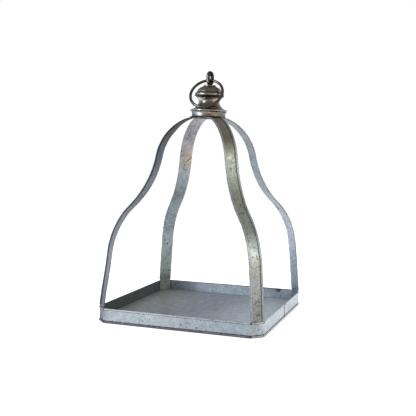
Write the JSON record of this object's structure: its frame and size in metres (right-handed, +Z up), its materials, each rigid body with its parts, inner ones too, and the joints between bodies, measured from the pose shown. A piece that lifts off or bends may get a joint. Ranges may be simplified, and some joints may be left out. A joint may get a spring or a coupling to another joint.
{
  "type": "open cloche frame",
  "caption": "Open galvanised cloche frame: clipped-corner square tray, curved corner straps, spun finial and a swinging carrying ring.",
  "frame": {"origin": "middle of the underside of the tray", "axes": "+Z up through the finial, X and Y along the tray's sides, -Y is the side the ring leans to"},
  "size_m": [0.3074, 0.3074, 0.453],
  "materials": {
    "galvanised_tray": "galvanised sheet, blue-grey spangle with dark specks",
    "galvanised_strap": "galvanised strip, aged, grimy folds and rusty edges",
    "finial_metal": "spun steel, aged pewter and bronze sheen",
    "dark_wire": "dark bronzed wire, worn highlights"
  },
  "bodies": {
    "frame": {"tray_floor": "galvanised_tray", "tray_wall": "galvanised_tray", "strap_front_left": "galvanised_strap", "strap_front_right": "galvanised_strap", "strap_back_right": "galvanised_strap", "strap_back_left": "galvanised_strap", "crown_plate": "galvanised_strap", "collar": "finial_metal", "finial_base": "finial_metal", "knob_lower": "finial_metal", "knob_upper": "finial_metal", "top_boss": "finial_metal", "eye_nut": "dark_wire", "eye_bolt": "dark_wire"},
    "ring": {"carrying_ring": "dark_wire"}
  },
  "joints": [
    {"name": "ring_swing", "type": "hinge", "parent": "frame", "child": "ring", "pos_m": [0.00357, 0, 0.43563], "axis": [-0.9996, 0, 0.0279], "range_deg": [0, 293]}
  ]
}
